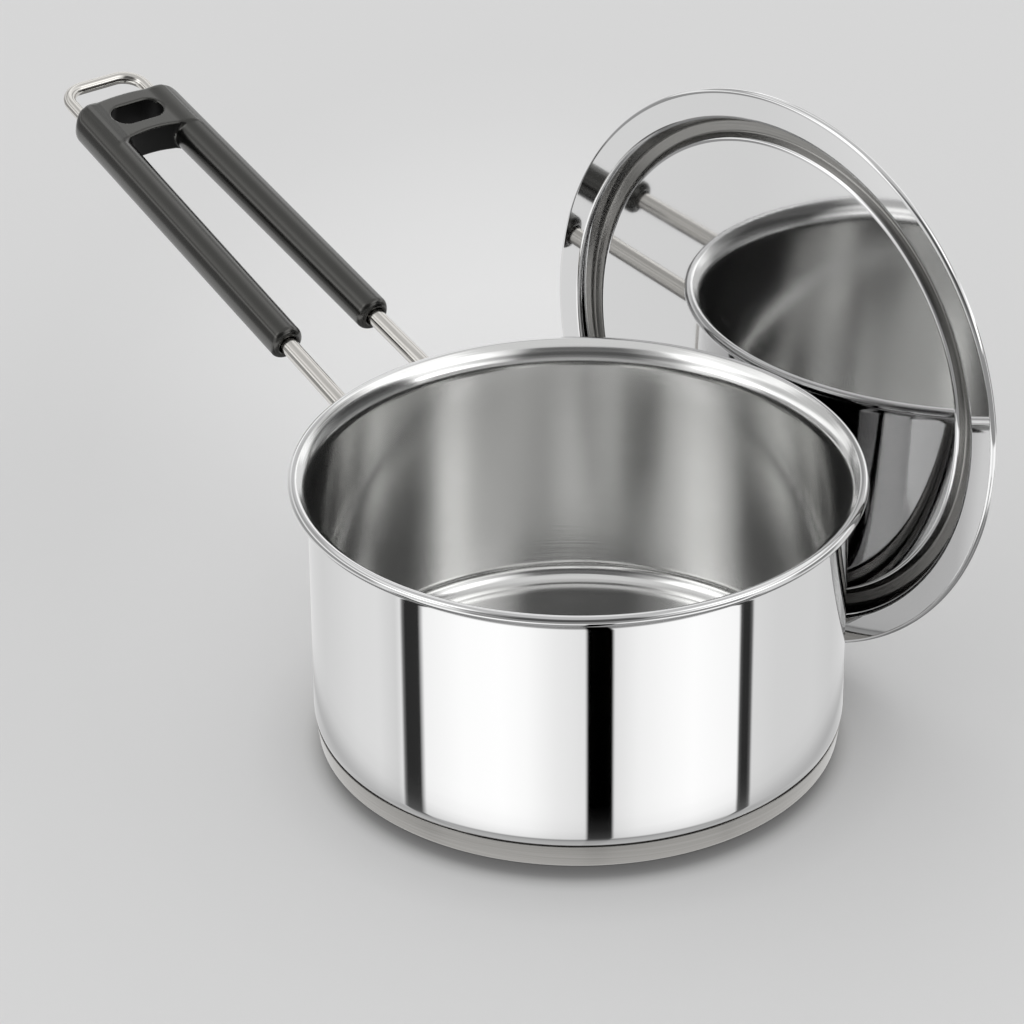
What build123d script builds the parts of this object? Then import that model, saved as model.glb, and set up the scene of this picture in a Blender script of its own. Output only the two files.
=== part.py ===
from build123d import *
import math
import os

# Milk pan with a wire handle, a moulded grip and a loose lid.
# Millimetres and degrees, Z up. The origin is the centre of the underside.
# The handle points along -X, and the lid stands behind the pan, near +Y.

# Pan body, pressed from one disc of steel sheet
pan_height = 89.0
pan_bore = 160.0
pan_sheet = 1.0
floor_corner_radius = 6.0
rim_overhang = 5.8
bead_diameter = 3.5
flare_angle = 50.0
flare_radius = 7.0
curl_turn = 275.0

# Heat spreading base: an aluminium disc closed in by a steel cup
core_thickness = 3.4
cup_sheet = 0.6
cup_step = 0.4
cup_side_lean = 8.0
cup_edge_radius = 1.6
core_gap = 0.15
seam_gap = 0.2

# Handle, bent from one rod that is drawn thinner inside the grip, down to its loop
leg_diameter = 5.8
wire_diameter = 4.2
handle_root_height = 68.15
handle_rise = 14.3
leg_spacing_at_wall = 35.3
leg_spacing_at_loop = 28.0
loop_reach = 16.8
loop_corner_radius = 7.5
leg_bend_radius = 7.0
leg_drop = 27.0
leg_wall_gap = 0.15

# Welds that hold the two turned down legs on the wall
weld_length = 15.0
weld_half_width = 3.4
weld_depth = 1.6
weld_end_margin = 1.5

# Grip, moulded in one piece over both legs
grip_start = 50.9
grip_length = 127.7
sleeve_near_diameter = 11.8
sleeve_far_diameter = 12.6
sleeve_end_rounding = 2.4
bore_clearance = 0.2
head_length = 21.0
head_thickness = 11.4
head_bulge = 3.2
head_corner_radius = 4.5
head_edge_rounding = 2.0
slot_end_rise = 3.0
slot_end_bevel = 0.7
hang_hole_length = 18.6
hang_hole_width = 9.5
hang_hole_setback = 8.0
hang_hole_bevel = 0.6

# Lid, pressed from one disc of thinner sheet
lid_overhang = 3.4
lid_sheet = 0.7
lid_bore_clearance = 0.5
lid_channel_depth = 5.4
lid_channel_width = 4.2
lid_outer_step_width = 1.7
lid_inner_step_width = 1.9
lid_panel_recess = 3.2
lid_fold_radius = 1.3
lid_edge_drop = 1.3
lid_edge_radius = 1.0

# Place of the lid, standing on its edge with its face to the rim
lid_bearing = 99.3
lid_lean = 2.0
lid_rim_gap = 0.3

# Worked out from the sizes above
base_height = cup_sheet + core_thickness
floor_height = base_height + pan_sheet
wall_inner = pan_bore / 2
wall_outer = wall_inner + pan_sheet
corner_outer = floor_corner_radius + pan_sheet
corner_centre_radius = wall_inner - floor_corner_radius
corner_centre_height = floor_height + floor_corner_radius
bead_radius = bead_diameter / 2
rim_radius = wall_outer + rim_overhang
bead_centre_radius = rim_radius - bead_radius
bead_centre_height = pan_height - bead_radius
cup_outer = wall_outer - cup_step
cup_inner = cup_outer - cup_sheet
cup_rise = corner_outer**2 - (cup_inner - corner_centre_radius) ** 2
cup_top = corner_centre_height - math.sqrt(cup_rise) - seam_gap
wire_radius = wire_diameter / 2
leg_radius = leg_diameter / 2
half_at_wall = leg_spacing_at_wall / 2
half_at_loop = leg_spacing_at_loop / 2
leg_centre_radius = wall_outer + leg_wall_gap + leg_radius
leg_offset = math.sqrt(leg_centre_radius**2 - half_at_wall**2)
grip_end = grip_start + grip_length
loop_end = grip_end + loop_reach
leg_slope = (half_at_wall - half_at_loop) / loop_end
leg_turn = math.degrees(math.atan(leg_slope))
lid_outer = rim_radius + lid_overhang


# The handle lies in this sloping plane: x runs out along the handle,
# y across it, and the origin is midway between the two legs at the wall.
handle_plane = Plane(
    origin=(-leg_offset, 0, handle_root_height),
    x_dir=(-math.cos(math.radians(handle_rise)), 0, math.sin(math.radians(handle_rise))),
    z_dir=(math.sin(math.radians(handle_rise)), 0, math.cos(math.radians(handle_rise))),
)


def ring_of_sheet(path, thickness):
    """Turn a sheet, drawn as its middle line in the XZ plane, about the Z axis."""
    section = Plane.XZ * trace(path, thickness)
    return revolve(section, Axis.Z)


def make_pan_shell():
    """Floor, corner, straight wall, flared neck and rolled rim of one even sheet."""
    middle_radius = wall_inner + pan_sheet / 2
    corner_middle = floor_corner_radius + pan_sheet / 2
    flare_middle = flare_radius + pan_sheet / 2
    curl_middle = bead_radius - pan_sheet / 2
    turn = math.radians(flare_angle)
    curl_start_r = bead_centre_radius - curl_middle * math.cos(turn)
    curl_start_z = bead_centre_height + curl_middle * math.sin(turn)
    flare_end_r = middle_radius + flare_middle * (1 - math.cos(turn))
    slope_rise = (curl_start_r - flare_end_r) / math.tan(turn)
    neck_z = curl_start_z - slope_rise - flare_middle * math.sin(turn)
    middle_z = base_height + pan_sheet / 2

    floor = Line((0, middle_z), (middle_radius - corner_middle, middle_z))
    corner = JernArc(floor @ 1, floor % 1, corner_middle, 90)
    wall = Line(corner @ 1, (middle_radius, neck_z))
    flare = JernArc(wall @ 1, wall % 1, flare_middle, -flare_angle)
    slope = Line(flare @ 1, (curl_start_r, curl_start_z))
    curl = JernArc(slope @ 1, slope % 1, curl_middle, -curl_turn)
    return ring_of_sheet([floor, corner, wall, flare, slope, curl], pan_sheet)


def cup_path():
    """Middle line of the cup: flat underside, small edge and leaning side."""
    lean = math.radians(cup_side_lean)
    half = cup_sheet / 2
    edge_middle = cup_edge_radius - half
    top_r = cup_outer - half
    side_foot_z = half + edge_middle * (1 - math.sin(lean))
    side_foot_r = top_r - (cup_top - side_foot_z) * math.tan(lean)
    edge_start_r = side_foot_r - edge_middle * math.cos(lean)
    bottom = Line((0, half), (edge_start_r, half))
    edge = JernArc(bottom @ 1, bottom % 1, edge_middle, 90 - cup_side_lean)
    side = Line(edge @ 1, (top_r, cup_top))
    return bottom, edge, side


def make_base_capsule():
    """The steel cup that closes in the aluminium disc and carries the pan."""
    return ring_of_sheet(list(cup_path()), cup_sheet)


def make_base_core():
    """The aluminium disc, squeezed out into the space round the pan's corner."""
    side = cup_path()[2]
    half = cup_sheet / 2
    inset = half / math.cos(math.radians(cup_side_lean)) + core_gap
    foot = side @ 0
    top = side @ 1
    blank = make_face(
        Polyline(
            (0, cup_sheet),
            (foot.X - cup_edge_radius, cup_sheet),
            (foot.X - inset, foot.Y),
            (top.X - inset, top.Y),
            (0, top.Y),
            close=True,
        )
    )
    above_floor = Pos(0, base_height) * Rectangle(
        corner_centre_radius, cup_top, align=(Align.MIN, Align.MIN)
    )
    round_corner = Pos(corner_centre_radius, corner_centre_height) * Circle(
        corner_outer + core_gap
    )
    return revolve(Plane.XZ * (blank - above_floor - round_corner), Axis.Z)


def leg_point(distance, side):
    """A point on the middle line of a leg, at a distance out along the handle."""
    lateral = side * (half_at_wall - leg_slope * distance)
    return handle_plane.from_local_coords((distance, lateral, 0))


def make_leg(side):
    """One thick leg: turned down the wall, out to the grip, and tapering inside it."""
    bend = leg_point(0, side)
    path = FilletPolyline(
        bend - Vector(0, 0, leg_drop),
        bend,
        leg_point(grip_start, side),
        radius=leg_bend_radius,
    )
    foot = Plane(origin=path @ 0, z_dir=path % 0)
    outward = path % 1
    thick_end = Plane(origin=leg_point(grip_start, side), z_dir=outward)
    thin_end = Plane(origin=leg_point(grip_end, side), z_dir=outward)
    exposed = sweep(foot * Circle(leg_radius), path=path)
    return exposed + loft([thick_end * Circle(leg_radius), thin_end * Circle(wire_radius)])


def make_handle_wire():
    """One rod: up the wall, out along a leg, round the loop and back."""
    path = FilletPolyline(
        leg_point(grip_end, 1),
        leg_point(loop_end, 1),
        leg_point(loop_end, -1),
        leg_point(grip_end, -1),
        radius=loop_corner_radius,
    )
    start = Plane(origin=path @ 0, z_dir=path % 0)
    loop = sweep(start * Circle(wire_radius), path=path)
    return loop + make_leg(1) + make_leg(-1)


def make_leg_weld(side):
    """Weld metal in the two hollows between the wall and a turned down end."""
    leg_angle = math.degrees(math.atan2(side * half_at_wall, -leg_offset))
    seat = Rot(0, 0, leg_angle) * Pos(wall_outer, 0) * Rectangle(
        weld_depth * 2, weld_half_width * 2
    )
    leg = Pos(-leg_offset, side * half_at_wall) * Circle(leg_radius)
    section = seat - Circle(wall_outer) - leg
    bottom = handle_root_height - leg_drop + weld_end_margin
    return Pos(0, 0, bottom) * extrude(section, weld_length)


def leg_location(distance, side):
    """A place on a leg, with its Z axis out along that leg."""
    lateral = side * (half_at_wall - leg_slope * distance)
    return Plane(origin=(distance, lateral, 0), z_dir=(1, -side * leg_slope, 0)).location


def make_handle_grip():
    """Two tapered sleeves joined at the far end by a head with a hanging hole."""
    overrun = sleeve_far_diameter
    leg_length = grip_length / math.cos(math.radians(leg_turn))
    taper = (sleeve_far_diameter - sleeve_near_diameter) / grip_length
    far_radius = (sleeve_far_diameter + taper * overrun) / 2
    grip = Part()
    for side in (1, -1):
        sleeve = Cone(
            sleeve_near_diameter / 2,
            far_radius,
            leg_length + overrun,
            align=(Align.CENTER, Align.CENTER, Align.MIN),
        )
        near_edge = sleeve.edges().filter_by(GeomType.CIRCLE).sort_by(Axis.Z)[0]
        sleeve = fillet(near_edge, sleeve_end_rounding)
        grip += leg_location(grip_start, side) * sleeve

    slot_end = grip_end - head_length
    half_inside = half_at_wall - leg_slope * slot_end
    plate = Pos(slot_end, 0) * Rectangle(
        head_length + overrun, half_inside * 2, align=(Align.MIN, Align.CENTER)
    )
    slot_round = make_face(
        [
            ThreePointArc(
                (slot_end, -half_inside),
                (slot_end + slot_end_rise, 0),
                (slot_end, half_inside),
            ),
            Line((slot_end, half_inside), (slot_end, -half_inside)),
        ]
    )
    head = extrude(plate - slot_round, head_thickness / 2, both=True)
    slot_edges = head.faces().sort_by(Axis.X)[0].edges().filter_by(GeomType.CIRCLE)
    grip += chamfer(slot_edges, slot_end_bevel)

    half_end = half_at_wall - leg_slope * grip_end + sleeve_far_diameter / 2
    half_start = half_at_wall + sleeve_near_diameter
    outline = make_face(
        [
            Polyline(
                (grip_end, half_end),
                (grip_start - overrun, half_start),
                (grip_start - overrun, -half_start),
                (grip_end, -half_end),
            ),
            ThreePointArc(
                (grip_end, -half_end),
                (grip_end + head_bulge, 0),
                (grip_end, half_end),
            ),
        ]
    )
    outline = fillet(outline.vertices().sort_by(Axis.X)[-2:], head_corner_radius)
    limits = extrude(outline, far_radius, both=True)
    rounded = limits.edges().filter_by(Axis.Z, reverse=True).sort_by(Axis.X)[-6:]
    grip &= fillet(rounded, head_edge_rounding)

    hole = Pos(grip_end - hang_hole_setback, 0) * SlotOverall(
        hang_hole_length, hang_hole_width, rotation=90
    )
    grip -= extrude(hole, far_radius, both=True)
    for face in (1, -1):
        bevel_start = Plane(origin=(0, 0, face * (head_thickness / 2 - hang_hole_bevel)), z_dir=(0, 0, face))
        grip -= extrude(bevel_start * hole, far_radius, taper=-45)
    narrowing = (leg_radius - wire_radius) / leg_length
    bore_length = leg_length + overrun * 2
    mouth_radius = leg_radius + bore_clearance + narrowing * overrun
    for side in (1, -1):
        bore = Cone(
            mouth_radius,
            mouth_radius - narrowing * bore_length,
            bore_length,
            align=(Align.CENTER, Align.CENTER, Align.MIN),
        )
        grip -= leg_location(grip_start - overrun, side) * bore
    return handle_plane.location * grip


def make_lid_flat():
    """The lid lying flat, its upper flange face at height 0 and its axis on Z."""
    half = lid_sheet / 2
    channel_outer = wall_inner - lid_bore_clearance
    flange_inner = channel_outer + lid_outer_step_width
    channel_inner = channel_outer - lid_channel_width
    panel_edge = channel_inner - lid_inner_step_width
    path = FilletPolyline(
        (0, -lid_panel_recess - half),
        (panel_edge, -lid_panel_recess - half),
        (channel_inner, -lid_channel_depth - half),
        (channel_outer, -lid_channel_depth - half),
        (flange_inner, -half),
        (lid_outer - half, -half),
        (lid_outer - half, -lid_edge_drop - half),
        radius=[lid_fold_radius] * 4 + [lid_edge_radius],
    )
    return ring_of_sheet(path.edges(), lid_sheet)


def make_lid():
    """The lid on its edge, its sunk panel just clear of the rim of the pan."""
    lean = math.radians(lid_lean)
    turned = Rot(0, lid_lean - 90, 0) * make_lid_flat()
    centre_height = -turned.bounding_box().min.Z
    reach = bead_radius + lid_rim_gap - lid_panel_recess
    reach += (centre_height - bead_centre_height) * math.sin(lean)
    distance = bead_centre_radius + reach / math.cos(lean)
    return Rot(0, 0, lid_bearing) * Pos(distance, 0, centre_height) * turned


os.makedirs("parts", exist_ok=True)
pieces = {
    "pan_shell": make_pan_shell(),
    "base_core": make_base_core(),
    "base_capsule": make_base_capsule(),
    "handle_wire": make_handle_wire(),
    "leg_weld_left": make_leg_weld(1),
    "leg_weld_right": make_leg_weld(-1),
    "handle_grip": make_handle_grip(),
    "lid": make_lid(),
}
for name, shape in pieces.items():
    export_step(shape, f"parts/{name}.step")
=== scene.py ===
import math

import bmesh
import bpy
import numpy as np
from mathutils import Matrix, Vector


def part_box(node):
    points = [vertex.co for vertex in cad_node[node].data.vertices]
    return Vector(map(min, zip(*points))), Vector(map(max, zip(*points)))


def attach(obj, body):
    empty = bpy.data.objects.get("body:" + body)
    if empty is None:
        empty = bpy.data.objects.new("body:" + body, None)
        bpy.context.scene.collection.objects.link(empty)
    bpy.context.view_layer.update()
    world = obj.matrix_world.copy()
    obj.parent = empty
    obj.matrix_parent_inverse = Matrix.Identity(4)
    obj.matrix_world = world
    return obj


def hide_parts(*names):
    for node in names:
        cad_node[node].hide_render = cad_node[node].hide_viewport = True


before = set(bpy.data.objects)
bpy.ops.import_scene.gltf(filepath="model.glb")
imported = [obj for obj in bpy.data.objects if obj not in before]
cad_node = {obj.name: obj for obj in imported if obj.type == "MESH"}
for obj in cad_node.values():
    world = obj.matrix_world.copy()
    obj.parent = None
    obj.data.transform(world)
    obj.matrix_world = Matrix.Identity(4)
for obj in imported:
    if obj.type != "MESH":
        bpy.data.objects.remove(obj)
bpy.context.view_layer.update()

# The camera stands where the photograph was taken from: a long lens, well above
# the rim, with the rim's centre a little right of and above the picture's centre.
MM = 0.001
picture_size = 1024
rim_centre_pixel = (578.4, 469.1)
lens_in_pixels = 4501.0
camera_distance = 1342.4 * MM
camera_azimuth = math.radians(53.3)
camera_elevation = math.radians(29.18)
pan_low, pan_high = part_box("pan_shell")
rim_centre = Vector((0, 0, pan_high.z))
looking = Vector(
    (
        -math.sin(camera_azimuth) * math.cos(camera_elevation),
        math.cos(camera_azimuth) * math.cos(camera_elevation),
        -math.sin(camera_elevation),
    )
)
camera_data = bpy.data.cameras.new("studio_camera")
camera_data.sensor_width = 36.0
camera_data.lens = camera_data.sensor_width * lens_in_pixels / picture_size
camera_data.shift_x = (picture_size / 2 - rim_centre_pixel[0]) / picture_size
camera_data.shift_y = (rim_centre_pixel[1] - picture_size / 2) / picture_size
camera_data.clip_start = 0.05
camera_data.clip_end = 20.0
camera = bpy.data.objects.new("studio_camera", camera_data)
camera.location = rim_centre - looking * camera_distance
camera.rotation_euler = looking.to_track_quat("-Z", "Y").to_euler()
bpy.context.collection.objects.link(camera)
bpy.context.scene.camera = camera
bpy.context.scene.view_settings.view_transform = "Standard"


# The studio is a tent of white cloth. The table gets its even light, while the polish
# mirrors its sheets and the dark gaps between them, which are set out by bearing. From
# the floor up lie the low sheets, the horizon, the high sheets and the roof.
camera_bearing = math.atan2(-looking.y, -looking.x)
tent = bpy.data.worlds.new("studio_tent")
bpy.context.scene.world = tent
tent.use_nodes = True
tree = tent.node_tree
tree.nodes.clear()


def add_node(tree, kind, inputs=None, **settings):
    """One shader node with its settings; an input given a socket is linked to it."""
    made = tree.nodes.new(kind)
    for name, value in settings.items():
        setattr(made, name, value)
    for name, value in (inputs or {}).items():
        if isinstance(value, bpy.types.NodeSocket):
            tree.links.new(value, made.inputs[name])
        else:
            made.inputs[name].default_value = value
    return made


def set_stops(ramp, stops):
    """Puts (place, grey) stops on a colour ramp, in order."""
    ramp.elements.remove(ramp.elements[1])
    for number, (place, grey) in enumerate(stops):
        element = ramp.elements.new(place) if number else ramp.elements[0]
        element.position = place
        element.color = (grey, grey, grey, 1.0)


direction = add_node(tree, "ShaderNodeTexCoord").outputs["Generated"]
turned_back = add_node(
    tree,
    "ShaderNodeVectorRotate",
    {"Vector": direction, "Angle": -camera_bearing},
    rotation_type="Z_AXIS",
).outputs[0]
parts = add_node(tree, "ShaderNodeSeparateXYZ", {0: turned_back})
bearing = add_node(
    tree, "ShaderNodeMath", {0: parts.outputs["Y"], 1: parts.outputs["X"]}, operation="ARCTAN2"
)
share = add_node(
    tree,
    "ShaderNodeMapRange",
    {"Value": bearing.outputs[0], "From Min": -math.pi, "From Max": math.pi},
)


def by_bearing(*pairs):
    """(degrees from the camera, grey) to places on a ramp that runs once round."""
    return [((degrees + 180) / 360, grey) for degrees, grey in pairs]


low_sheets = add_node(tree, "ShaderNodeValToRGB", {0: share.outputs[0]})
set_stops(
    low_sheets.color_ramp,
    by_bearing(
        (-179, 0.80),
        (-140, 0.88),
        (-110, 1.08),
        (-95, 1.12),
        (-84, 0.98),
        (-81, 1.22),
        (-70, 1.40),
        (-50, 1.57),
        (-33, 1.60),
        (-22, 1.53),
        (-9.4, 1.31),
        (3, 1.19),
        (15, 1.17),
        (26, 1.39),
        (38, 1.50),
        (50, 1.58),
        (72, 1.48),
        (80, 1.07),
        (94, 1.0),
        (120, 0.96),
        (139, 0.85),
        (179, 0.80),
    ),
)
gaps = add_node(tree, "ShaderNodeValToRGB", {0: share.outputs[0]})
set_stops(
    gaps.color_ramp,
    by_bearing(
        (-179, 1.0),
        (-81.3, 1.0),
        (-79.9, 0.03),
        (-71.0, 0.03),
        (-69.6, 1.0),
        (2.9, 1.0),
        (3.5, 0.0),
        (14.7, 0.0),
        (15.3, 1.0),
        (71.9, 1.0),
        (73.2, 0.03),
        (78.6, 0.03),
        (79.9, 1.0),
        (179, 1.0),
    ),
)
horizon = add_node(tree, "ShaderNodeValToRGB", {0: share.outputs[0]})
set_stops(
    horizon.color_ramp,
    by_bearing(
        (-179, 0.90),
        (-150, 0.85),
        (-128, 0.45),
        (-84, 0.40),
        (-77, 0.95),
        (-46, 1.00),
        (-39, 0.40),
        (62, 0.40),
        (68, 1.00),
        (84, 0.95),
        (90, 0.35),
        (108, 0.35),
        (114, 0.85),
        (150, 0.85),
        (179, 0.90),
    ),
)
high_sheets = add_node(tree, "ShaderNodeValToRGB", {0: share.outputs[0]})
set_stops(
    high_sheets.color_ramp,
    by_bearing(
        (-179, 0.70),
        (-168, 0.66),
        (-150, 0.42),
        (-128, 0.52),
        (-116, 0.57),
        (-100, 0.58),
        (-90, 0.62),
        (-82, 0.80),
        (-74, 1.03),
        (-58, 1.08),
        (-52, 0.80),
        (-44, 0.32),
        (-30, 0.16),
        (-24, 0.08),
        (24, 0.08),
        (32, 0.40),
        (44, 0.70),
        (58, 1.00),
        (78, 1.06),
        (87, 0.84),
        (98, 0.69),
        (128, 0.60),
        (150, 0.56),
        (168, 0.66),
        (179, 0.70),
    ),
)


def by_height(low, high):
    """How far a direction is past a band of heights: 0 under it, 1 over it."""
    return add_node(
        tree,
        "ShaderNodeMapRange",
        {"Value": parts.outputs["Z"], "From Min": low, "From Max": high},
        interpolation_type="SMOOTHSTEP",
    ).outputs[0]


def over(height, under, above):
    """One part of the tent over another from that height."""
    return add_node(
        tree, "ShaderNodeMix", {0: height, 6: under, 7: above}, data_type="RGBA"
    ).outputs[2]


parted = add_node(
    tree,
    "ShaderNodeVectorMath",
    {0: low_sheets.outputs[0], 1: gaps.outputs[0]},
    operation="MULTIPLY",
).outputs[0]
near_floor = add_node(
    tree, "ShaderNodeVectorMath", {0: parted, "Scale": 0.3}, operation="SCALE"
).outputs[0]
cloth = over(by_height(-0.72, -0.60), near_floor, parted)
cloth = over(by_height(-0.50, -0.47), cloth, low_sheets.outputs[0])
cloth = over(by_height(-0.35, -0.31), cloth, horizon.outputs[0])
fullness = add_node(tree, "ShaderNodeValToRGB", {0: parts.outputs["Z"]})
set_stops(
    fullness.color_ramp,
    [(0.25, 2.4), (0.38, 2.2), (0.45, 1.12), (0.61, 1.12), (0.68, 2.3), (0.86, 1.4)],
)
shaded_high = add_node(
    tree,
    "ShaderNodeVectorMath",
    {0: high_sheets.outputs[0], 1: fullness.outputs[0]},
    operation="MULTIPLY",
).outputs[0]
cloth = over(by_height(0.19, 0.25), cloth, shaded_high)
cloth = over(by_height(0.85, 0.90), cloth, (0.75, 0.75, 0.75, 1.0))
mirrored_light = add_node(tree, "ShaderNodeBackground", {"Color": cloth, "Strength": 1.0})
white = (1.0, 1.0, 1.0, 1.0)
even_light = add_node(tree, "ShaderNodeBackground", {"Color": white, "Strength": 1.0})
is_mirrored = add_node(tree, "ShaderNodeLightPath").outputs["Is Glossy Ray"]
tent_light = add_node(
    tree,
    "ShaderNodeMixShader",
    {0: is_mirrored, 1: even_light.outputs[0], 2: mirrored_light.outputs[0]},
)
add_node(tree, "ShaderNodeOutputWorld", {"Surface": tent_light.outputs[0]})


# The table is matt pale grey card. A painted pool of light makes the card's colour a little
# lighter behind the pan.
# The tent's lower sheets stand in for it in the polish, where only the shade round the base shows.
table_half = 6.0
glow_right = -23 * MM
glow_back = 152 * MM
glow_squash = 0.49


def add_mesh(name, places, faces, normals=None):
    """One mesh object from arrays of places and of faces, all its faces smooth."""
    mesh = bpy.data.meshes.new(name)
    mesh.from_pydata(np.asarray(places).tolist(), [], [list(face) for face in faces])
    mesh.polygons.foreach_set("use_smooth", np.ones(len(mesh.polygons), dtype=bool))
    if normals is not None:
        mesh.normals_split_custom_set_from_vertices(normals.tolist())
    made = bpy.data.objects.new(name, mesh)
    bpy.context.collection.objects.link(made)
    return made


def start_material(name, values=None):
    """A material, its node tree and its shader, with the shader's even values set."""
    made = bpy.data.materials.new(name)
    made.use_nodes = True
    shader = made.node_tree.nodes["Principled BSDF"]
    for socket, value in (values or {}).items():
        shader.inputs[socket].default_value = value
    return made, made.node_tree, shader


square = np.array([(-1, -1, 0), (1, -1, 0), (1, 1, 0), (-1, 1, 0)])
table = add_mesh("table", square * table_half, [(0, 1, 2, 3)])
table.visible_glossy = False
card, tree, shader = start_material("pale_card", {"Roughness": 0.9, "Specular IOR Level": 0.05})
place = add_node(tree, "ShaderNodeTexCoord").outputs["Object"]
to_right = Vector((-looking.y, looking.x, 0)).normalized() * -1
to_back = Vector((looking.x, looking.y, 0)).normalized()
glow_centre = to_right * glow_right + to_back * glow_back
from_glow = add_node(
    tree, "ShaderNodeVectorMath", {0: place, 1: glow_centre}, operation="SUBTRACT"
).outputs[0]
across_it = add_node(
    tree, "ShaderNodeVectorMath", {0: from_glow, 1: to_right}, operation="DOT_PRODUCT"
).outputs["Value"]
along_it = add_node(
    tree,
    "ShaderNodeVectorMath",
    {0: from_glow, 1: to_back * glow_squash},
    operation="DOT_PRODUCT",
).outputs["Value"]
oval = add_node(tree, "ShaderNodeCombineXYZ", {0: across_it, 1: along_it})
reach = add_node(tree, "ShaderNodeVectorMath", {0: oval.outputs[0]}, operation="LENGTH")
# Painted pool of light: the card's colour rises towards the centre of the glow behind the pan.
painted_glow = add_node(tree, "ShaderNodeValToRGB", {0: reach.outputs["Value"]})
set_stops(
    painted_glow.color_ramp,
    [
        (0.0, 0.80),
        (0.07, 0.79),
        (0.09, 0.765),
        (0.105, 0.745),
        (0.13, 0.71),
        (0.145, 0.69),
        (0.17, 0.675),
    ],
)
tree.links.new(painted_glow.outputs[0], shader.inputs["Base Color"])
table.data.materials.append(card)

# The shade round the base is two sheets just over the table, both round and soft at the
# rim: a dark one that only the camera sees and a paler one that only the polish mirrors.
shade_half = 200 * MM
shade_lift = 0.05 * MM
shade_from = 50
shade_to = 130


def add_shade(name, centre, stops):
    """A sheet just over the table, as thick and as grey as its stops say by the distance
    from a centre: (millimetres, share that hides the table, grey)."""
    sheet = add_mesh(name, square * shade_half + (0, 0, shade_lift), [(0, 1, 2, 3)])
    sheet.visible_diffuse = False
    sheet.visible_shadow = False
    dark = bpy.data.materials.new(name)
    dark.use_nodes = True
    tree = dark.node_tree
    tree.nodes.clear()
    place = add_node(tree, "ShaderNodeTexCoord").outputs["Object"]
    away = add_node(tree, "ShaderNodeVectorMath", {0: place, 1: centre}, operation="DISTANCE")
    depth = add_node(
        tree,
        "ShaderNodeMapRange",
        {
            "Value": away.outputs["Value"],
            "From Min": shade_from * MM,
            "From Max": shade_to * MM,
        },
    ).outputs[0]
    ramps = []
    for number in (1, 2):
        ramp = add_node(tree, "ShaderNodeValToRGB", {0: depth})
        places = [(stop[0] - shade_from) / (shade_to - shade_from) for stop in stops]
        set_stops(ramp.color_ramp, zip(places, [stop[number] for stop in stops]))
        ramps.append(ramp.outputs[0])
    hides, grey = ramps
    shade = add_node(tree, "ShaderNodeEmission", {"Color": grey})
    clear = add_node(tree, "ShaderNodeBsdfTransparent")
    mixed = add_node(
        tree, "ShaderNodeMixShader", {0: hides, 1: clear.outputs[0], 2: shade.outputs[0]}
    )
    add_node(tree, "ShaderNodeOutputMaterial", {"Surface": mixed.outputs[0]})
    sheet.data.materials.append(dark)
    return sheet


seen_grey = 0.02
seen_forward = 8 * MM
seen_depth = [(50, 0.74), (73, 0.74), (75, 0.70), (76.5, 0.64), (78, 0.49), (79, 0.38)]
seen_depth += [(80, 0.29), (81, 0.22), (82.5, 0.13), (84.5, 0.07), (88, 0.05), (93, 0.03)]
seen_depth += [(102, 0.0)]
seen_shade = add_shade(
    "shade_at_the_base",
    to_back * -seen_forward,
    [(radius, hides, seen_grey) for radius, hides in seen_depth],
)
seen_shade.visible_glossy = False
mirrored_shade = add_shade(
    "shade_in_the_polish",
    (0, 0, 0),
    [
        (80, 0.85, 0.80),
        (89, 0.75, 0.62),
        (92, 0.48, 0.32),
        (95, 0.32, 0.28),
        (98, 0.18, 0.28),
        (101, 0.09, 0.28),
        (108, 0.02, 0.28),
        (114, 0.0, 0.28),
    ],
)
mirrored_shade.visible_camera = False


# The pan is pressed from one disc of 1 mm stainless steel, 18/10, with its edge rolled
# outward into a bead. It is mirror polished outside and satin inside.
around_a_pressing = 384
pan_sheet = 1.0 * MM
wall_outer = 81.0 * MM
wall_middle = wall_outer - pan_sheet / 2
floor_corner = 6.5 * MM
bead_radius = 1.75 * MM
flare_turn = math.radians(50)
flare_radius = 7.5 * MM
curl_turn = math.radians(275)
curl_radius = bead_radius - pan_sheet / 2
bead_middle_r = pan_high.x - bead_radius
bead_middle_z = pan_high.z - bead_radius
curl_start = (
    bead_middle_r - curl_radius * math.cos(flare_turn),
    bead_middle_z + curl_radius * math.sin(flare_turn),
)
neck_z = curl_start[1] - (curl_start[0] - wall_middle) / math.tan(flare_turn)
floor_middle_z = pan_low.z + pan_sheet / 2


def rounded_line(corners, radii, arc_steps=16):
    """Corners joined by straights; at each inner one an arc of its radius takes over a
    tangent length, radius times tan(turn/2), before it, and turns evenly to the new way."""
    corners = np.asarray(corners, dtype=float)
    pieces = [corners[:1]]
    for before, corner, after, radius in zip(corners, corners[1:], corners[2:], radii):
        way_in = (corner - before) / np.linalg.norm(corner - before)
        way_out = (after - corner) / np.linalg.norm(after - corner)
        turn = math.acos(float(np.clip(way_in @ way_out, -1, 1)))
        inward = (way_out - way_in * math.cos(turn)) / math.sin(turn)
        start = corner - way_in * radius * math.tan(turn / 2)
        angle = np.linspace(0, turn, arc_steps)[:, None]
        pieces.append(start + radius * (np.sin(angle) * way_in + (1 - np.cos(angle)) * inward))
    pieces.append(corners[-1:])
    return np.vstack(pieces)


def arc_on(line, radius, turn, arc_steps=40):
    """The line carried on by an arc that turns evenly, to the left where turn is above 0."""
    heading = line[-1] - line[-2]
    start = math.atan2(heading[1], heading[0])
    sweep = np.linspace(0, turn, arc_steps)[1:]
    bend = radius if turn > 0 else -radius
    across = np.sin(start + sweep) - math.sin(start)
    along = math.cos(start) - np.cos(start + sweep)
    return np.vstack([line, line[-1] + bend * np.stack([across, along], axis=1)])


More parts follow.
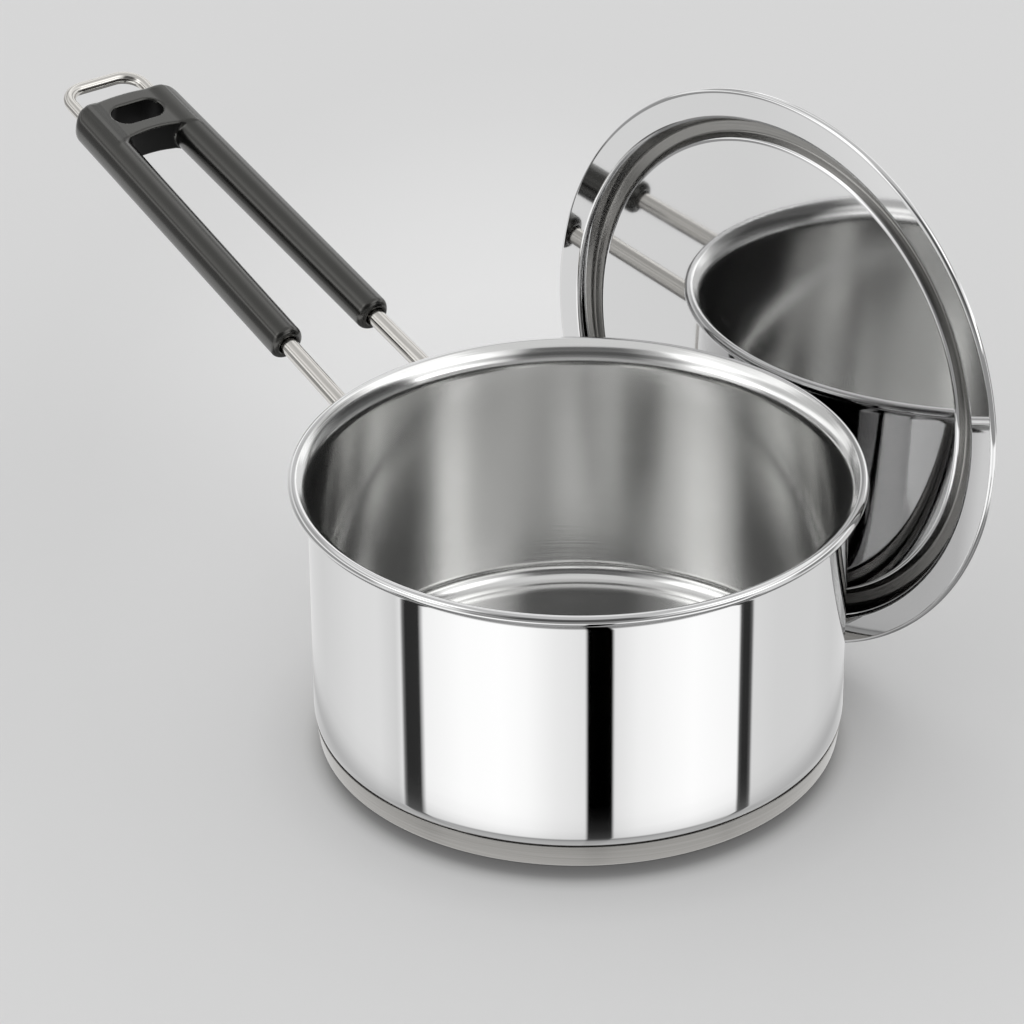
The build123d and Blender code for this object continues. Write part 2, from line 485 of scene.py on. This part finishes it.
def add_points(line, longest):
    """The same line with its long straights cut into pieces no longer than that."""
    steps = np.linalg.norm(np.diff(line, axis=0), axis=1)
    counts = np.maximum(1, np.ceil(steps / longest)).astype(int)
    shares = [number + np.arange(count) / count for number, count in enumerate(counts)]
    places = np.concatenate(shares + [[len(steps)]])
    old = np.arange(len(line))
    return np.stack([np.interp(places, old, column) for column in line.T], axis=1)


def sheet_outline(middle, thickness):
    """Both faces of a sheet from its middle line: each point moved half the sheet to
    each side, up the left face and back down the right one. Gives points and normals."""
    tangent = np.gradient(middle, axis=0)
    tangent /= np.linalg.norm(tangent, axis=1)[:, None]
    left = np.stack([-tangent[:, 1], tangent[:, 0]], axis=1)
    faces = [middle + left * thickness / 2, (middle - left * thickness / 2)[::-1]]
    for face in faces:
        face[np.abs(face[:, 0]) < thickness / 100, 0] = 0
    return np.vstack(faces), np.vstack([left, -left[::-1]])


def turned(outline, normals, around):
    """An outline in radius and height turned about the Z axis: x = r cos a, y = r sin a.
    It starts and ends on the axis, where all the copies of a point are one pole. Gives
    the places, the faces and the normals."""
    angle = np.arange(around) * 2 * math.pi / around
    spoke = np.stack([np.cos(angle), np.sin(angle)], axis=1)

    def ring(values):
        flat = values[1:-1, None, :1] * spoke[None]
        tall = np.broadcast_to(values[1:-1, None, 1:], (*flat.shape[:2], 1))
        rings = np.concatenate([flat, tall], axis=2).reshape(-1, 3)
        return np.vstack([[0, 0, values[0, 1]], rings, [0, 0, values[-1, 1]]])

    rows = len(outline) - 2
    grid = 1 + np.arange(rows * around).reshape(rows, around)
    ahead = np.roll(grid, -1, axis=1)
    last = rows * around + 1
    quads = np.stack([grid[:-1], grid[1:], ahead[1:], ahead[:-1]], axis=2).reshape(-1, 4)
    first_fan = np.stack([np.zeros_like(grid[0]), grid[0], ahead[0]], axis=1)
    last_fan = np.stack([np.full_like(grid[0], last), ahead[-1], grid[-1]], axis=1)
    faces = [*first_fan.tolist(), *quads.tolist(), *last_fan.tolist()]
    return ring(outline), faces, ring(normals)


pan_middle = rounded_line(
    [(0, floor_middle_z), (wall_middle, floor_middle_z), (wall_middle, neck_z), curl_start],
    [floor_corner, flare_radius],
)
pan_middle = arc_on(pan_middle, curl_radius, -curl_turn)
pan_outline, pan_normals = sheet_outline(add_points(pan_middle, 6 * MM), pan_sheet)
pan = add_mesh("pan_shell_polished", *turned(pan_outline, pan_normals, around_a_pressing))
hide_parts("pan_shell")
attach(pan, "pan")


def from_hex(code):
    """sRGB hex to linear RGB: below 0.04045 a share of 12.92, above it the 2.4 power."""
    channels = np.array([int(code[i : i + 2], 16) for i in (1, 3, 5)]) / 255
    linear = np.where(channels <= 0.04045, channels / 12.92, ((channels + 0.055) / 1.055) ** 2.4)
    return (*linear.tolist(), 1.0)


def round_marks(tree, place, spacing, wander=0.02):
    """Fine rings of a wheel or a lathe: noise of the distance from the piece's axis and of
    its height over the spacing, so it runs round, and drifts slowly with the place."""
    around = add_node(tree, "ShaderNodeSeparateXYZ", {0: place})
    flat = add_node(tree, "ShaderNodeCombineXYZ", {0: around.outputs[0], 1: around.outputs[1]})
    radius = add_node(tree, "ShaderNodeVectorMath", {0: flat.outputs[0]}, operation="LENGTH")
    ring = add_node(
        tree, "ShaderNodeCombineXYZ", {0: radius.outputs["Value"], 1: around.outputs[2]}
    )
    drift = add_node(
        tree, "ShaderNodeVectorMath", {0: flat.outputs[0], "Scale": wander}, operation="SCALE"
    )
    laid = add_node(
        tree, "ShaderNodeVectorMath", {0: ring.outputs[0], 1: drift.outputs[0]}, operation="ADD"
    ).outputs[0]
    return add_node(
        tree, "ShaderNodeTexNoise", {"Vector": laid, "Scale": 1 / spacing, "Detail": 2.0}
    ).outputs[0]


# Stainless steel 18/10, mirror polished on a sisal and then a cotton wheel: sharp
# reflections, with faint rings of the wheel and a slight haze that comes and goes.
polished, tree, shader = start_material(
    "mirror_polished_stainless", {"Base Color": from_hex("#CFCFCF"), "Metallic": 1.0}
)
place = add_node(tree, "ShaderNodeTexCoord").outputs["Object"]
haze = add_node(
    tree, "ShaderNodeTexNoise", {"Vector": place, "Scale": 1 / (30 * MM), "Detail": 2.0}
)
gloss = add_node(
    tree, "ShaderNodeMapRange", {"Value": haze.outputs[0], "To Min": 0.02, "To Max": 0.05}
)
tree.links.new(gloss.outputs[0], shader.inputs["Roughness"])
marks = round_marks(tree, place, 0.9 * MM)
bump = add_node(
    tree, "ShaderNodeBump", {"Height": marks, "Strength": 0.04, "Distance": 0.02 * MM}
)
tree.links.new(bump.outputs[0], shader.inputs["Normal"])
pan.data.materials.append(polished)

# The inside has a satin finish, brushed round and round with a fibre wheel: soft
# reflections and fine rings, drawn 0.5 mm apart where the real ones are 0.1 mm.
satin, tree, shader = start_material("satin_brushed_stainless", {"Metallic": 1.0})
place = add_node(tree, "ShaderNodeTexCoord").outputs["Object"]
marks = round_marks(tree, place, 0.5 * MM)
cloud = add_node(
    tree, "ShaderNodeTexNoise", {"Vector": place, "Scale": 1 / (25 * MM), "Detail": 3.0}
)
tone = add_node(
    tree,
    "ShaderNodeMix",
    {0: marks, 6: from_hex("#DFDFDE"), 7: from_hex("#E6E6E5")},
    data_type="RGBA",
)
tree.links.new(tone.outputs[2], shader.inputs["Base Color"])
gloss = add_node(
    tree, "ShaderNodeMapRange", {"Value": cloud.outputs[0], "To Min": 0.10, "To Max": 0.18}
)
tree.links.new(gloss.outputs[0], shader.inputs["Roughness"])
bump = add_node(
    tree, "ShaderNodeBump", {"Height": marks, "Strength": 0.25, "Distance": 0.05 * MM}
)
tree.links.new(bump.outputs[0], shader.inputs["Normal"])
pan.data.materials.append(satin)


def face_values(piece, kind):
    """The centre or the normal of each of a piece's faces, one row a face."""
    values = np.zeros(len(piece.data.polygons) * 3)
    piece.data.polygons.foreach_get(kind, values)
    return values.reshape(-1, 3)


# The fibre wheel reaches all that faces the pan's axis or lies flat on its floor, up to
# where the flare runs into the bead.
centres, ways = face_values(pan, "center"), face_values(pan, "normal")
centre_r = np.hypot(centres[:, 0], centres[:, 1])
outward = (ways[:, :2] * centres[:, :2]).sum(axis=1) / np.maximum(centre_r, 1 * MM)
on_the_floor = (ways[:, 2] > 0.5) & (centres[:, 2] < 30 * MM)
inside = ((outward < -0.3) | on_the_floor) & (centre_r < curl_start[0])
pan.data.polygons.foreach_set("material_index", inside.astype(np.int32))

# The capsule is a cup of 0.6 mm stainless steel, pressed round the aluminium disc and
# bonded to it under the pan. Its side leans in towards the table.
cup_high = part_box("base_capsule")[1]
cup_sheet = 0.6 * MM
cup_lean = math.radians(8)
cup_edge_radius = 1.3 * MM
seam_gap = 0.35 * MM
cup_top_r = cup_high.x - cup_sheet / 2
cup_corner_r = cup_top_r - (cup_high.z - cup_sheet / 2) * math.tan(cup_lean)
cup_middle = rounded_line(
    [(0, cup_sheet / 2), (cup_corner_r, cup_sheet / 2), (cup_top_r, cup_high.z + seam_gap)],
    [cup_edge_radius],
)
cup_outline, cup_normals = sheet_outline(add_points(cup_middle, 4 * MM), cup_sheet)
cup = add_mesh("base_cup", *turned(cup_outline, cup_normals, around_a_pressing))
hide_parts("base_capsule")
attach(cup, "pan")

# The cup is ground and not mirror polished, with fine rings drawn 0.6 mm apart where the real ones
# are 0.1 mm.
# Its greyer band is partly painted shade: the steel's colour is darkened for the shaded table that
# its leaning side mirrors.
ground_cup_painted_shade, tree, shader = start_material("ground_stainless_cup_painted_shade", {"Metallic": 1.0})
place = add_node(tree, "ShaderNodeTexCoord").outputs["Object"]
marks = round_marks(tree, place, 0.6 * MM)
# Painted shade: the cup's colour is kept greyer than the pan's to stand in for the mirrored shade
# of the table.
tone = add_node(
    tree,
    "ShaderNodeMix",
    {0: marks, 6: from_hex("#A9A7A3"), 7: from_hex("#C4C2BF")},
    data_type="RGBA",
)
tree.links.new(tone.outputs[2], shader.inputs["Base Color"])
gloss = add_node(tree, "ShaderNodeMapRange", {"Value": marks, "To Min": 0.12, "To Max": 0.24})
tree.links.new(gloss.outputs[0], shader.inputs["Roughness"])
bump = add_node(
    tree, "ShaderNodeBump", {"Height": marks, "Strength": 0.3, "Distance": 0.04 * MM}
)
tree.links.new(bump.outputs[0], shader.inputs["Normal"])
cup.data.materials.append(ground_cup_painted_shade)

# The lid is pressed from one disc of 0.7 mm stainless steel: a flange, a channel that
# drops into the pan and a sunk panel. It stands on its edge behind the pan.
lid_sheet = 0.7 * MM
lid_radius = 90.2 * MM
lid_lean = math.radians(2.0)
lid_bearing = math.radians(99.3)
lid_rim_gap = 0.3 * MM
lid_panel_recess = 3.2 * MM
lid_panel_radius = 73.4 * MM
lid_channel_depth = 5.4 * MM
lid_channel_inner = 75.3 * MM
lid_channel_outer = 79.5 * MM
lid_flange_inner = 81.2 * MM
lid_press_radius = 1.3 * MM
lid_edge_radius = 1.0 * MM
lid_edge_drop = 1.3 * MM
lid_panel = -lid_panel_recess - lid_sheet / 2
lid_channel = -lid_channel_depth - lid_sheet / 2
lid_middle = rounded_line(
    [
        (0, lid_panel),
        (lid_panel_radius, lid_panel),
        (lid_channel_inner, lid_channel),
        (lid_channel_outer, lid_channel),
        (lid_flange_inner, -lid_sheet / 2),
        (lid_radius - lid_sheet / 2, -lid_sheet / 2),
        (lid_radius - lid_sheet / 2, -lid_edge_drop - lid_sheet / 2),
    ],
    [lid_press_radius] * 4 + [lid_edge_radius],
)
lid_outline, lid_normals = sheet_outline(add_points(lid_middle, 5 * MM), lid_sheet)
places, faces, normals = turned(lid_outline, lid_normals, around_a_pressing)
tip = np.array(Matrix.Rotation(lid_lean - math.pi / 2, 3, "Y"))
places = places @ tip.T
centre_height = -places[:, 2].min()
lid_reach = bead_radius + lid_rim_gap - lid_panel_recess
lid_reach += (centre_height - bead_middle_z) * math.sin(lid_lean)
lid_distance = bead_middle_r + lid_reach / math.cos(lid_lean)
swing = np.array(Matrix.Rotation(lid_bearing, 3, "Z"))
places = (places + (lid_distance, 0, centre_height)) @ swing.T
lid = add_mesh("lid_pressed", places, faces, normals @ tip.T @ swing.T)
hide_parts("lid")
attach(lid, "lid")

# The lid's steel is polished like the pan's, on a wheel that ran round the lid, so its
# faint rings lie round the lid's own axis.
lid_centre = Vector(((lid_distance, 0, centre_height) @ swing.T).tolist())


def round_the_lid(tree):
    """Object coordinates laid back on the lid as it was turned: flat, about its own axis."""
    place = add_node(tree, "ShaderNodeTexCoord").outputs["Object"]
    from_middle = add_node(
        tree, "ShaderNodeVectorMath", {0: place, 1: lid_centre}, operation="SUBTRACT"
    )
    unswung = add_node(
        tree,
        "ShaderNodeVectorRotate",
        {"Vector": from_middle.outputs[0], "Angle": -lid_bearing},
        rotation_type="Z_AXIS",
    )
    return add_node(
        tree,
        "ShaderNodeVectorRotate",
        {"Vector": unswung.outputs[0], "Angle": math.pi / 2 - lid_lean},
        rotation_type="Y_AXIS",
    ).outputs[0]


lid_polish, tree, shader = start_material(
    "mirror_polished_lid_stainless", {"Base Color": from_hex("#CFCFCF"), "Metallic": 1.0}
)
place = round_the_lid(tree)
haze = add_node(
    tree, "ShaderNodeTexNoise", {"Vector": place, "Scale": 1 / (22 * MM), "Detail": 2.0}
)
gloss = add_node(
    tree, "ShaderNodeMapRange", {"Value": haze.outputs[0], "To Min": 0.02, "To Max": 0.06}
)
tree.links.new(gloss.outputs[0], shader.inputs["Roughness"])
marks = round_marks(tree, place, 0.9 * MM)
bump = add_node(
    tree, "ShaderNodeBump", {"Height": marks, "Strength": 0.05, "Distance": 0.02 * MM}
)
tree.links.new(bump.outputs[0], shader.inputs["Normal"])
lid.data.materials.append(lid_polish)

# The channel is a darker grey, with softer reflections, than the polished lid.
# The darker grey is painted shade in the sunk channel.
channel_painted_shade, tree, shader = start_material("stainless_channel_painted_shade", {"Metallic": 1.0})
place = round_the_lid(tree)
marks = round_marks(tree, place, 0.6 * MM)
# Painted shade: the dark grey of the channel's steel.
tone = add_node(
    tree,
    "ShaderNodeMix",
    {0: marks, 6: from_hex("#7C7B79"), 7: from_hex("#979693")},
    data_type="RGBA",
)
tree.links.new(tone.outputs[2], shader.inputs["Base Color"])
gloss = add_node(tree, "ShaderNodeMapRange", {"Value": marks, "To Min": 0.16, "To Max": 0.3})
tree.links.new(gloss.outputs[0], shader.inputs["Roughness"])
lid.data.materials.append(channel_painted_shade)
channel_from = 74.2 * MM
channel_to = 80.5 * MM
channel_under = -lid_panel_recess - 0.1 * MM
# Faces in the channel get the painted shade.
flat_centres = (face_values(lid, "center") - np.array(lid_centre)) @ swing @ tip
from_axis = np.hypot(flat_centres[:, 0], flat_centres[:, 1])
in_channel = (from_axis > channel_from) & (from_axis < channel_to)
in_channel &= flat_centres[:, 2] < channel_under
lid.data.polygons.foreach_set("material_index", in_channel.astype(np.int32))


# The handle is one stainless steel rod, 5.8 mm thick where it is turned down and welded
# to the wall, drawn thinner inside the grip and 4.2 mm thick in its bent loop.
around_the_rod = 48
leg_radius = 2.9 * MM
wire_radius = 2.1 * MM
half_at_wall = 17.65 * MM
leg_slope = 0.01868
root_height = 68.15 * MM
root_distance = 82.176 * MM
loop_end = 195.4 * MM
leg_drop = 27.0 * MM
leg_bend = 7.0 * MM
loop_radius = 7.5 * MM
grip_start = 50.9 * MM
grip_end = 178.6 * MM
handle_rise = math.radians(14.3)
handle_out = np.array((-math.cos(handle_rise), 0, math.sin(handle_rise)))
handle_up = np.array((math.sin(handle_rise), 0, math.cos(handle_rise)))
handle_left = np.array((0, -1, 0))
handle_root = np.array((-root_distance, 0, root_height))


def tube_along(path, radius, wide, around):
    """A round rod carried along a path: each point's circle stands square to the path,
    centre plus radius times (cos a times wide plus sin a times the third way). Both ends
    are closed by a fan of faces."""
    way = np.gradient(path, axis=0)
    way /= np.linalg.norm(way, axis=1)[:, None]
    third = np.cross(way, wide)
    angle = np.arange(around) * 2 * math.pi / around
    spoke = np.cos(angle)[:, None] * wide[:, None, :]
    spoke = spoke + np.sin(angle)[:, None] * third[:, None, :]
    rings = path[:, None, :] + radius[:, None, None] * spoke
    count = len(path)
    grid = np.arange(count * around).reshape(count, around)
    ahead = np.roll(grid, -1, axis=1)
    quads = np.stack([grid[:-1], ahead[:-1], ahead[1:], grid[1:]], axis=2).reshape(-1, 4)
    first, last = count * around, count * around + 1
    first_fan = np.stack([np.full(around, first), ahead[0], grid[0]], axis=1)
    last_fan = np.stack([np.full(around, last), grid[-1], ahead[-1]], axis=1)
    places = np.vstack([rings.reshape(-1, 3), path[:1], path[-1:]])
    return places, [*quads.tolist(), *first_fan.tolist(), *last_fan.tolist()]


def on_handle(along, across, above=0.0):
    """A place in space from distances out along the handle, across it and above it."""
    out, left, up = (np.asarray(value, dtype=float)[..., None] for value in (along, across, above))
    return handle_root + out * handle_out + left * handle_left + up * handle_up


def leg_across(along):
    """How far a leg stands from the handle's middle line, which it nears as it goes out."""
    return half_at_wall - leg_slope * along


drop = np.array((0, 0, -leg_drop))
roots = [on_handle(0, -leg_across(0)), on_handle(0, leg_across(0))]
loop_corners = [on_handle(loop_end, side * leg_across(loop_end)) for side in (-1, 1)]
wire_path = rounded_line(
    [roots[0] + drop, roots[0], *loop_corners, roots[1], roots[1] + drop],
    [leg_bend, loop_radius, loop_radius, leg_bend],
    arc_steps=24,
)
wire_path = add_points(wire_path, 2 * MM)
cut_round = 0.35 * MM
ends = wire_path[[0, -1]] + (0, 0, cut_round)
wire_path = np.vstack([wire_path[:1], ends[:1], wire_path[1:-1], ends[1:], wire_path[-1:]])
out_along = (wire_path - handle_root) @ handle_out
thinness = np.clip((out_along - grip_start) / (grip_end - grip_start), 0, 1)
radius = leg_radius + (wire_radius - leg_radius) * thinness
radius[[0, -1]] -= cut_round
way = np.gradient(wire_path, axis=0)
wide = np.cross(way, handle_up)
wide /= np.linalg.norm(wide, axis=1)[:, None]
wire = add_mesh("bent_rod", *tube_along(wire_path, radius, wide, around_the_rod))
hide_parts("handle_wire")
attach(wire, "pan")

# Each point also carries its place on the rod as it was before it was bent: along its
# own axis by the run from the first end, and round it at the wire's radius.
steps = np.linalg.norm(np.diff(wire_path, axis=0), axis=1)
run = np.concatenate([[0], np.cumsum(steps)])
turn = np.arange(around_the_rod) * 2 * math.pi / around_the_rod
laid = np.stack(np.broadcast_arrays(np.cos(turn), np.sin(turn), run[:, None]), axis=2)
laid = laid * (wire_radius, wire_radius, 1)
laid = np.vstack([laid.reshape(-1, 3), [[0, 0, 0], [0, 0, run[-1]]]])
laid_out = wire.data.attributes.new("along_the_wire", "FLOAT_VECTOR", "POINT")
laid_out.data.foreach_set("vector", laid.astype(np.float32).ravel())

# Stainless wire drawn through a die and buffed: bright, but less sharp than the pan, with
# fine lines along it, drawn 0.35 mm apart where the real ones are 0.05 mm.
drawn, tree, shader = start_material("drawn_stainless_wire", {"Metallic": 1.0})
place = add_node(tree, "ShaderNodeAttribute", attribute_name="along_the_wire").outputs["Vector"]
stretched = add_node(
    tree, "ShaderNodeVectorMath", {0: place, 1: (1.0, 1.0, 0.02)}, operation="MULTIPLY"
)
lines = add_node(
    tree,
    "ShaderNodeTexNoise",
    {"Vector": stretched.outputs[0], "Scale": 1 / (0.35 * MM), "Detail": 3.0},
)
tone = add_node(
    tree,
    "ShaderNodeMix",
    {0: lines.outputs[0], 6: from_hex("#BBB8B3"), 7: from_hex("#D6D4D0")},
    data_type="RGBA",
)
tree.links.new(tone.outputs[2], shader.inputs["Base Color"])
gloss = add_node(
    tree, "ShaderNodeMapRange", {"Value": lines.outputs[0], "To Min": 0.10, "To Max": 0.22}
)
tree.links.new(gloss.outputs[0], shader.inputs["Roughness"])
bump = add_node(
    tree,
    "ShaderNodeBump",
    {"Height": lines.outputs[0], "Strength": 0.15, "Distance": 0.03 * MM},
)
tree.links.new(bump.outputs[0], shader.inputs["Normal"])
wire.data.materials.append(drawn)

# Two welds hold the rod's turned down ends on the wall. Their steel was melted in and
# left as it cooled: dull and lumpy, with a straw tint where it was hot.
melted, tree, shader = start_material("tinted_weld_metal", {"Metallic": 1.0, "Roughness": 0.42})
place = add_node(tree, "ShaderNodeTexCoord").outputs["Object"]
lumps = add_node(
    tree, "ShaderNodeTexNoise", {"Vector": place, "Scale": 1 / (1.5 * MM), "Detail": 3.0}
)
tone = add_node(
    tree,
    "ShaderNodeMix",
    {0: lumps.outputs[0], 6: from_hex("#8F8878"), 7: from_hex("#C2B08A")},
    data_type="RGBA",
)
tree.links.new(tone.outputs[2], shader.inputs["Base Color"])
bump = add_node(
    tree,
    "ShaderNodeBump",
    {"Height": lumps.outputs[0], "Strength": 0.6, "Distance": 0.2 * MM},
)
tree.links.new(bump.outputs[0], shader.inputs["Normal"])


def give_finish(name, material):
    """A piece carried over from the solids gets one material and no other."""
    cad_node[name].data.materials.clear()
    cad_node[name].data.materials.append(material)


give_finish("leg_weld_left", melted)
give_finish("leg_weld_right", melted)

# The core is a disc of bare aluminium, turned flat on a lathe before it was sealed in:
# whiter and duller than the steel, with the lathe's rings.
turned_disc, tree, shader = start_material("turned_aluminium_disc", {"Metallic": 1.0})
place = add_node(tree, "ShaderNodeTexCoord").outputs["Object"]
marks = round_marks(tree, place, 0.4 * MM)
tone = add_node(
    tree,
    "ShaderNodeMix",
    {0: marks, 6: from_hex("#D0D2D6"), 7: from_hex("#E6E7EA")},
    data_type="RGBA",
)
tree.links.new(tone.outputs[2], shader.inputs["Base Color"])
gloss = add_node(tree, "ShaderNodeMapRange", {"Value": marks, "To Min": 0.35, "To Max": 0.5})
tree.links.new(gloss.outputs[0], shader.inputs["Roughness"])
give_finish("base_core", turned_disc)

# The grip is one moulding of black bakelite over both legs: two sleeves that thicken
# outward, joined by a head with a hole. Its edges and hollows are all a little rounded.
sleeve_near = 5.9 * MM
sleeve_far = 6.3 * MM
sleeve_end_round = 2.4 * MM
head_half_thick = 5.7 * MM
head_length = 21.0 * MM
head_bulge = 3.2 * MM
head_corner = 4.5 * MM
head_edge = 2.0 * MM
slot_rise = 3.0 * MM
slot_edge = 0.9 * MM
hole_length = 18.6 * MM
hole_width = 9.5 * MM
hole_centre = grip_end - 8.0 * MM
hole_edge = 0.8 * MM
crease_round = 1.4 * MM
bore_clearance = 0.2 * MM
bore_lip = 0.9 * MM
merge_within = 0.001 * MM
grid_step = 0.6 * MM


def both_within(first, second, radius):
    """Distance to what lies inside both surfaces, with the edge where they meet rounded."""
    past = np.hypot(np.maximum(radius + first, 0), np.maximum(radius + second, 0))
    return np.minimum(-radius, np.maximum(first, second)) + past


def joined(first, second, radius):
    """Distance to what lies inside either surface, with the hollow between them filled."""
    under = np.hypot(np.maximum(radius - first, 0), np.maximum(radius - second, 0))
    return np.maximum(radius, np.minimum(first, second)) - under


def slot_line(across):
    """How far along the slot ends: a bow that rises most on the middle line."""
    inner_half = leg_across(grip_end - head_length)
    return grip_end - head_length + slot_rise * (1 - (across / inner_half) ** 2)


def from_hole(along, across):
    """Distance from the hole's wall, above 0 outside: two half rounds joined by straights."""
    half_round = hole_width / 2
    past = np.maximum(np.abs(across) - hole_length / 2 + half_round, 0)
    return np.hypot(past, along - hole_centre) - half_round


def from_grip(places):
    """How far places, along, across and above the handle, are outside the grip: two
    tapered round sleeves and a flat head joined to them, cut off by the outline and by
    the ends of the sleeves, less the slot's bowed end, the hole and the two bores."""
    along, across, above = places.T
    side = np.abs(across)
    leg = leg_across(along)
    share = (along - grip_start) / (grip_end - grip_start)
    thickness = sleeve_near + (sleeve_far - sleeve_near) * share
    from_leg = np.hypot(side - leg, above)
    head = both_within(np.abs(above) - head_half_thick, slot_line(across) - along, slot_edge)
    head = np.maximum(head, side - leg)
    body = joined(from_leg - thickness, head, crease_round)
    outer_half = leg_across(grip_end) + sleeve_far
    end_line = along - grip_end - head_bulge * (1 - (across / outer_half) ** 2)
    outline = both_within(side - leg - thickness, end_line, head_corner)
    body = both_within(body, outline, head_edge)
    body = both_within(body, grip_start - along, sleeve_end_round)
    body = both_within(body, -from_hole(along, across), hole_edge)
    bore = leg_radius + (wire_radius - leg_radius) * share + bore_clearance
    return both_within(body, bore - from_leg, bore_lip)


def steepest(distance, places, step=0.01 * MM):
    """The way a distance grows fastest: its change over a short step each way, along
    each of the three axes."""
    ahead = [distance(places + way) for way in np.eye(3) * step]
    behind = [distance(places - way) for way in np.eye(3) * step]
    return (np.stack(ahead, axis=1) - np.stack(behind, axis=1)) / (2 * step)


# A merged copy of the solid grip gives an even grid of faces, and each of its points is
# then drawn onto the worked-out surface: back along the slope by how far it is off it.
blank = bpy.data.objects.new("grip_blank", cad_node["handle_grip"].data.copy())
bpy.context.collection.objects.link(blank)
shell = bmesh.new()
shell.from_mesh(blank.data)
bmesh.ops.remove_doubles(shell, verts=shell.verts, dist=merge_within)
shell.to_mesh(blank.data)
shell.free()
evened = blank.modifiers.new("even_grid", "REMESH")
evened.mode = "VOXEL"
evened.voxel_size = grid_step
evened_blank = blank.evaluated_get(bpy.context.evaluated_depsgraph_get())
grid_mesh = bpy.data.meshes.new_from_object(evened_blank)
bpy.data.objects.remove(blank)
places = np.zeros(len(grid_mesh.vertices) * 3)
grid_mesh.vertices.foreach_get("co", places)
handle_ways = np.stack([handle_out, handle_left, handle_up])
places = (places.reshape(-1, 3) - handle_root) @ handle_ways.T
for _ in range(8):
    slope = steepest(from_grip, places)
    steepness = np.maximum((slope**2).sum(axis=1), 0.2)
    places -= slope * (from_grip(places) / steepness)[:, None]
slope = steepest(from_grip, places)
slope /= np.linalg.norm(slope, axis=1)[:, None]
corners = np.zeros(len(grid_mesh.loops), dtype=np.int32)
grid_mesh.loops.foreach_get("vertex_index", corners)
corners = corners.reshape(-1, 4)
grip_places = handle_root + places @ handle_ways
grip = add_mesh("moulded_grip", grip_places, corners, slope @ handle_ways)
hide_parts("handle_grip")
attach(grip, "pan")

# Bakelite, pressed in a polished mould: black and glossy, with a very slight waviness
# of the skin and a fine haze where hands have rubbed it.
bakelite, tree, shader = start_material(
    "moulded_bakelite",
    {"IOR": 1.6, "Specular IOR Level": 0.65, "Specular Tint": from_hex("#FFFEF8")},
)
place = add_node(tree, "ShaderNodeTexCoord").outputs["Object"]
cloud = add_node(
    tree, "ShaderNodeTexNoise", {"Vector": place, "Scale": 1 / (12 * MM), "Detail": 4.0}
)
tone = add_node(
    tree,
    "ShaderNodeMix",
    {0: cloud.outputs[0], 6: from_hex("#040404"), 7: from_hex("#0C0C0B")},
    data_type="RGBA",
)
tree.links.new(tone.outputs[2], shader.inputs["Base Color"])
gloss = add_node(
    tree, "ShaderNodeMapRange", {"Value": cloud.outputs[0], "To Min": 0.16, "To Max": 0.27}
)
tree.links.new(gloss.outputs[0], shader.inputs["Roughness"])
skin = add_node(
    tree, "ShaderNodeTexNoise", {"Vector": place, "Scale": 1 / (1.6 * MM), "Detail": 2.0}
)
bump = add_node(
    tree,
    "ShaderNodeBump",
    {"Height": skin.outputs[0], "Strength": 0.06, "Distance": 0.05 * MM},
)
tree.links.new(bump.outputs[0], shader.inputs["Normal"])
grip.data.materials.append(bakelite)

# The walls of the hole and of the slot's end shine far less than the rest of the grip: painted
# shade in these hollows.
# They are rougher, with fine drag marks straight through the head.
# Painted shade: the low Specular IOR Level darkens the walls of the hole and the slot.
hollow_painted_shade, tree, shader = start_material(
    "bakelite_painted_shade_in_the_hollows", {"Roughness": 0.5, "Specular IOR Level": 0.2}
)
place = add_node(tree, "ShaderNodeTexCoord").outputs["Object"]
dragged = add_node(
    tree, "ShaderNodeVectorMath", {0: place, 1: (1.0, 1.0, 0.08)}, operation="MULTIPLY"
)
drags = add_node(
    tree,
    "ShaderNodeTexNoise",
    {"Vector": dragged.outputs[0], "Scale": 1 / (0.5 * MM), "Detail": 2.0},
)
tone = add_node(
    tree,
    "ShaderNodeMix",
    {0: drags.outputs[0], 6: from_hex("#050505"), 7: from_hex("#0C0C0B")},
    data_type="RGBA",
)
tree.links.new(tone.outputs[2], shader.inputs["Base Color"])
grip.data.materials.append(hollow_painted_shade)
# Faces on the walls of the hole and the slot's end get the painted shade.
along, across, above = places[corners].mean(axis=1).T
on_hole_wall = from_hole(along, across) < hole_edge / 2
on_slot_end = np.abs(along - slot_line(across)) < slot_edge / 2
on_slot_end &= np.abs(across) < leg_across(along)
in_hollow = (on_hole_wall | on_slot_end) & (np.abs(above) < head_half_thick - hole_edge)
grip.data.polygons.foreach_set("material_index", in_hollow.astype(np.int32))
